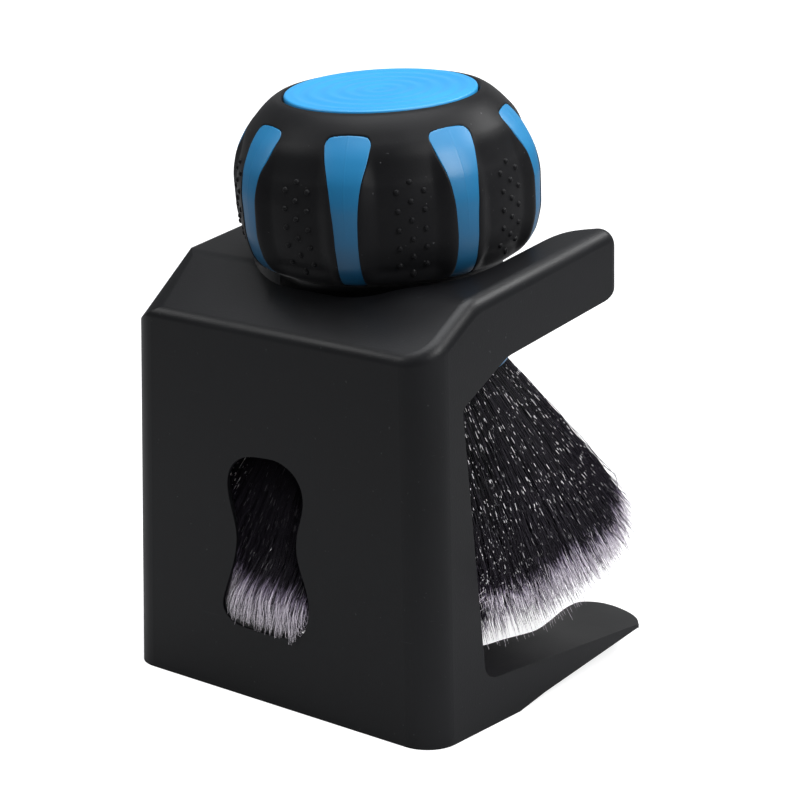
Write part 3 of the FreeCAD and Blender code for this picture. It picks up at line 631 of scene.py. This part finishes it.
# What presses them, in the stand's frame.
INNER_WALL_Y = 2.75
SIDE_X = 36.1               # the column's sides, which reach back to SIDE_END_Y
SIDE_END_Y = 19.5
UNMOVED_Y = 40.0            # filaments behind this are free
UNPRESSED_Y = -7.0          # where the foremost would lie without the wall
window_left = smooth_curve([                # (z, x)
    (15.6, -13.0), (18.0, -15.8), (22.6, -15.3), (27.4, -13.5), (32.2, -12.1), (36.4, -11.9)])
window_right = smooth_curve([
    (15.6, 4.0), (18.0, 6.6), (22.0, 7.7), (25.4, 7.8), (29.3, 6.6), (36.4, 4.7)])
WINDOW_BULGE = 3.3          # they come this far forward in the window
BASE_TOP_Z = 10.9
BASE_REAR_Y = 24.0          # the base lies in front of this, and the prongs outside PRONG_X
PRONG_X = 24.5
GAP_Z = 6.5                 # lowest place over the gap between them
FRONT_TIP_Z = 17.3          # where the filaments pressed against the front wall end
SIDE_TIP_RISE = 4.6         # how much higher they end towards its sides
CORNER_TIP_DROP = 0.7       # and how much lower at the window's lower corner
FREE_TIP = 3.0              # the pale tips are shorter by this factor on the free sides
REAR_TIP = 0.65             # but at the rear they are shortened less, by this share
REAR_CALM = 0.75            # share of the painted glints that is missing near the tips at the rear
HIDDEN_GLINT = 0.08         # painted-light weight of the pressed side: few painted glints, and painted shade on its tips


def fan_reach(polar):
    """Distance from the apex to the domed end, by direction."""
    slope = np.tan(polar)
    s = np.full(len(polar), 112.0)          # a first guess, which settles on the dome in these rounds
    for _ in range(40):
        s = 0.5 * s + 0.5 * dome(np.minimum((s - APEX_S) * slope, DOME_R))
    return (s - APEX_S) / np.cos(polar)


def strand_paths(polar, azimuth, points, seed, shift):
    """Centre lines in the stand's frame (mm), (n, points, 3), pressed back by the wall and the base."""
    local = np.random.default_rng(seed)
    n = len(polar)
    reach = fan_reach(polar) * (1 + local.normal(0, REACH_SHARE, n)) + local.normal(0, REACH_MM, n)
    reach = reach + shift
    first = (ROOT_S - APEX_S) / np.cos(polar)
    t = np.linspace(0, 1, points)[None, :]
    distance = first[:, None] + (reach - first)[:, None] * t
    tilt = local.normal(0, 1, (n, 2)) * TILT
    stray = local.random(n) < STRAYS
    tilt[stray] *= STRAY_FACTOR
    bow = (polar / FAN_MAX)[:, None] * (BOW_OUT * np.sin(math.pi * t) - BOW_IN * t ** 3)
    radial = np.sin(polar)[:, None] * distance + bow
    bend = t ** 1.6
    x = radial * np.sin(azimuth)[:, None] + tilt[:, :1] * bend * distance
    y = -radial * np.cos(azimuth)[:, None] + tilt[:, 1:] * bend * distance
    s = APEX_S + np.cos(polar)[:, None] * distance
    phase = local.random((n, 2)) * 2 * math.pi
    wave = (WAVE + WAVE_MORE * local.random((n, 1))) * np.where(stray, STRAY_FACTOR, 1.0)[:, None]
    waves = (WAVES + WAVES_MORE * local.random((n, 1))) * (points - 1)
    x = x + wave * np.sin(waves * 2 * math.pi * t + phase[:, :1]) * t
    y = y + wave * np.cos(waves * 2 * math.pi * t + phase[:, 1:]) * t
    return press(np.stack(to_stand(x, y, s), axis=2))


def press(paths):
    """Bend the lines off the front wall, the column's sides and the base, keeping their length."""
    wanted = paths.copy()
    x, y, z = wanted[..., 0], wanted[..., 1], wanted[..., 2]
    inside = np.minimum(x - window_left(z), window_right(z) - x)
    bulge = rise(inside, 0.6, 2.1) * rise(z, 33.0, 24.0) * rise(z, 14.0, 16.0)
    limit = INNER_WALL_Y - WINDOW_BULGE * bulge
    share = np.clip((UNMOVED_Y - y) / (UNMOVED_Y - UNPRESSED_Y), 0, None)
    packed = 1.13 * share - 0.13 * share ** 2               # a little closer together near the wall
    front = UNMOVED_Y - (UNMOVED_Y - limit) * packed
    squeezed = np.where(y < UNMOVED_Y, np.maximum(front, limit), y)
    beside = (squeezed < SIDE_END_Y) & (np.abs(x) > SIDE_X)
    wanted[..., 1] = squeezed
    wanted[..., 0] = np.where(beside, np.sign(x) * SIDE_X, x)
    out = wanted.copy()
    for i in range(1, paths.shape[1]):
        step = np.linalg.norm(paths[:, i] - paths[:, i - 1], axis=1)
        way = wanted[:, i] - wanted[:, i - 1]
        way /= np.maximum(np.linalg.norm(way, axis=1), 1e-6)[:, None]
        out[:, i] = out[:, i - 1] + way * step[:, None]
    over_base = (out[..., 1] < BASE_REAR_Y) | (np.abs(out[..., 0]) > PRONG_X)
    out[..., 2] = np.maximum(out[..., 2], np.where(over_base, BASE_TOP_Z, GAP_Z))
    return out


def tubes(paths):
    """Three-sided tapering tubes along the lines, as points and faces."""
    n, m, _ = paths.shape
    way = np.gradient(paths, axis=1)
    way /= np.maximum(np.linalg.norm(way, axis=2, keepdims=True), 1e-9)
    side = np.cross(way, np.array([0.31, 0.87, 0.21]))      # any direction that no filament has
    side /= np.maximum(np.linalg.norm(side, axis=2, keepdims=True), 1e-9)
    up = np.cross(way, side)
    t = np.linspace(0, 1, m)[None, :, None]
    width = FILAMENT_R * (1 - TAPER_BY * (np.maximum(t - (1 - TAPER), 0) / TAPER) ** 1.5)
    rings = []
    for k in range(3):
        turn = 2 * math.pi * k / 3
        rings.append(paths + width * (math.cos(turn) * side + math.sin(turn) * up))
    points = np.stack(rings, axis=2).reshape(-1, 3)
    base = (np.arange(n) * m * 3)[:, None, None] + (np.arange(m - 1) * 3)[None, :, None]
    quads = []
    for k in range(3):
        j = (k + 1) % 3
        quads.append(np.concatenate([base + k, base + j, base + 3 + j, base + 3 + k], axis=2))
    return points, np.stack(quads, axis=2).reshape(-1, 4)


def filament_data(paths, own):
    """The filament attribute, the same for the three points of each ring."""
    n, m, _ = paths.shape
    t = np.linspace(0, 1, m)[None, :]
    step = np.linalg.norm(np.diff(paths, axis=1), axis=2)
    from_tip = np.concatenate([np.cumsum(step[:, ::-1], axis=1)[:, ::-1], np.zeros((n, 1))], axis=1)
    aside, rear = np.abs(paths[..., 0]), paths[..., 1]
    free = np.maximum(rise(aside, 21.0, 27.0), rise(rear, 26.0, 34.0))
    shorter = 1 + (FREE_TIP - 1) * free * (1 - REAR_TIP * rise(rear, 24.0, 36.0))
    # fewer painted glints near the tips at the rear
    calm = 1 - REAR_CALM * rise(t, 0.6, 0.8) * rise(rear, 18.0, 30.0)
    colour = np.ones((n, m, 3, 4), np.float32)
    colour[..., 0] = (np.clip(from_tip / ATTRIBUTE_MM, 0, 1) * shorter)[:, :, None]
    colour[..., 1] = own[:, None, None]
    # blue: the painted-light weight, for the painted glints and for the painted shade of the pressed side
    colour[..., 2] = ((HIDDEN_GLINT + (1 - HIDDEN_GLINT) * free) * (0.55 + 0.45 * t) * calm)[:, :, None]
    return colour


def bristle_mesh(name, paths, own, material):
    points, faces = tubes(paths)
    mesh = bpy.data.meshes.new(name)
    mesh.vertices.add(len(points))
    mesh.vertices.foreach_set("co", to_scene(*points.T).ravel())
    mesh.loops.add(faces.size)
    mesh.loops.foreach_set("vertex_index", faces.ravel().astype(np.int32))
    mesh.polygons.add(len(faces))
    mesh.polygons.foreach_set("loop_start", (np.arange(len(faces)) * 4).astype(np.int32))
    mesh.update(calc_edges=True)
    mesh.validate()
    data = mesh.attributes.new("filament", "FLOAT_COLOR", "POINT")
    data.data.foreach_set("color", filament_data(paths, own).ravel())
    return link(name, mesh, material)


QUARTER = math.pi / 2
# Name, inner and outer share of the fan's angle, filaments, points along each, first and last azimuth.
BUNCHES = [
    ("bristles_core", 0.0, 0.45, 1500, 7, 0.0, 4 * QUARTER),
    ("bristles_inner", 0.45, 0.75, 2300, 8, 0.0, 4 * QUARTER),
    ("bristles_outer", 0.75, 0.93, 3000, 12, 0.0, 4 * QUARTER),
]
for i, quarter in enumerate(("front_right", "rear_right", "rear_left", "front_left")):
    BUNCHES.append(("bristles_skin_" + quarter, 0.93, 1.0, 1550, 21, i * QUARTER, (i + 1) * QUARTER))


def front_tips(end, varied):
    """Height at which filaments with these ends stop, where they are pressed against the front wall."""
    x = end[:, 0]
    aside = rise(np.abs(x), 14.0, 28.0)
    corner = rise(x, 1.0, 4.0) * rise(x, 11.0, 8.0)
    return FRONT_TIP_Z + SIDE_TIP_RISE * aside - CORNER_TIP_DROP * corner + varied


def make_bristles(material):
    """Filaments in bunches from the middle out; the outermost, which are seen, have the most points."""
    pieces = []
    for seed, (name, low, high, count, points, start, stop) in enumerate(BUNCHES):
        local = np.random.default_rng(100 + seed)
        polar = np.sqrt(local.uniform(low ** 2, high ** 2, count)) * FAN_MAX
        azimuth = local.uniform(start, stop, count)
        own = local.random(count)
        varied = local.normal(0, 0.7, count)
        shift = np.zeros(count)
        for _ in range(3):
            paths = strand_paths(polar, azimuth, points, 200 + seed, shift)
            end = paths[:, -1]
            pressed = rise(end[:, 1], 20.0, 10.0)
            shift = shift + pressed * (end[:, 2] - front_tips(end, varied))
        pieces.append(bristle_mesh(name, paths, own, material))
    return pieces


# ---------------------------------------------------------------- stage and light

FLOOR_GLOW = 0.80           # near the object, rising to BACK_GLOW far from it; only the camera sees it
BACK_GLOW = 1.05
ROOM = 0.13                 # strength of the surroundings for everything but the camera
BRISTLE_LIGHT = 3.8
WHITE = (1, 1, 1)
# Softboxes: name, place, height of the point they face, size, power, colour.
LIGHTS = [
    ("overhead", (-0.05, 0.05, 0.85), 0.06, (0.7, 0.6), 6.8, (0.97, 0.98, 1.0)),
    ("left_front", (-0.50, -0.45, 0.55), 0.06, (0.30, 0.30), 1.3, WHITE),
    ("right_high", (0.55, -0.05, 0.50), 0.08, (0.30, 0.30), 3.0, WHITE),
    ("right_rear", (0.30, 0.55, 0.62), 0.08, (0.35, 0.25), 3.0, WHITE),
    ("left_rear_card", (-0.55, 0.75, 0.15), 0.06, (0.6, 0.5), 0.35, WHITE),
]


def camera_only(tree, seen, unseen):
    """A value that the camera sees, and another for light and reflections."""
    return portion(tree, tree.nodes.new("ShaderNodeLightPath").outputs["Is Camera Ray"], unseen, seen)


def make_stage():
    """White floor and surroundings; both are brighter to the camera than as sources of light."""
    bpy.ops.mesh.primitive_plane_add(size=6.0, location=(0, 0, 0))
    floor = bpy.context.object
    floor.name = "floor"
    material, tree, shader = new_material("floor_white")
    for socket, value in (("Base Color", (0.40, 0.40, 0.405, 1)), ("Roughness", 0.9),
                          ("Specular IOR Level", 0.1), ("Emission Color", (1, 1, 1, 1))):
        shader.inputs[socket].default_value = value
    distance = tree.nodes.new("ShaderNodeVectorMath")
    distance.operation = "LENGTH"
    tree.links.new(object_place(tree), distance.inputs[0])
    glow = spread(tree, distance.outputs["Value"], FLOOR_GLOW, BACK_GLOW, 0.15, 0.9)
    seen = calculate(tree, "MULTIPLY", glow, camera_only(tree, 1.0, 0.0))
    tree.links.new(seen, shader.inputs["Emission Strength"])
    floor.data.materials.append(material)
    world = bpy.data.worlds.new("studio")
    bpy.context.scene.world = world
    world.use_nodes = True
    background = world.node_tree.nodes["Background"]
    background.inputs["Color"].default_value = (0.96, 0.98, 1.0, 1)
    world.node_tree.links.new(camera_only(world.node_tree, BACK_GLOW, ROOM), background.inputs["Strength"])


def area_light(name, place, target, size, power, colour):
    data = bpy.data.lights.new(name, "AREA")
    data.shape = "RECTANGLE"
    data.size, data.size_y = size
    data.energy = power
    data.color = colour
    light = bpy.data.objects.new(name, data)
    bpy.context.scene.collection.objects.link(light)
    light.location = place
    light.rotation_mode = "QUATERNION"
    light.rotation_quaternion = (Vector(target) - Vector(place)).to_track_quat("-Z", "Y")
    return light


def make_lights():
    for name, place, height, size, power, colour in LIGHTS:
        area_light(name, place, (0, 0, height), size, power, colour)


def light_only(name, pieces):
    """A low softbox at the right that is flagged to light these pieces alone."""
    lit = bpy.data.collections.new(name)
    for piece in pieces:
        lit.objects.link(piece)
    light = area_light(name, (0.42, -0.28, 0.22), (0.02, 0, 0.04), (0.30, 0.30), BRISTLE_LIGHT, WHITE)
    light.data.specular_factor = 0.15
    light.light_linking.receiver_collection = lit


# ---------------------------------------------------------------- assembly

make_camera()
make_stage()
make_lights()

stand_look = stand_material()
rubber_look = rubber_material()
# the last value, 0.30, is the painted shade at the foot of the ribs
rib_look = blue_material("rib_blue", (0.015, 0.225, 0.48), (0.011, 0.195, 0.43), 0.36, 0.30)
cap_look = blue_material("cap_blue", (0.024, 0.32, 0.67), (0.018, 0.28, 0.61), 0.38)
steel_look = steel_material()
filament_look = bristle_material()

LOOKS = {"stand": stand_look, "grip_rubber": rubber_look, "handle_blue": rib_look, "cap_blue": cap_look,
         "steel": steel_look, "bristle": filament_look}
for entry in frame["record"]["subparts"]:
    cad = frame["nodes"][entry["node"]]
    cad.data.materials.clear()
    cad.data.materials.append(LOOKS[entry["material_slot"]])

grip = make_grip(rubber_look)
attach(grip, "brush")
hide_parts("grip_cover")

ribs = make_core(rib_look)
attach(ribs, "brush")
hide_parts("handle_core")

cap = make_cap(cap_look)
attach(cap, "brush")
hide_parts("top_cap")

REPLACED = [["tufts_centre", "tufts_ring_1"], ["tufts_ring_2"], ["tufts_ring_3"]] + [["tufts_ring_4"]] * 4
bristles = make_bristles(filament_look)
light_only("bristle_light", bristles)
for piece, nodes in zip(bristles, REPLACED):
    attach(piece, "brush")
    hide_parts(*nodes)

view = bpy.context.scene.view_settings
view.view_transform = "Standard"
view.look = "None"
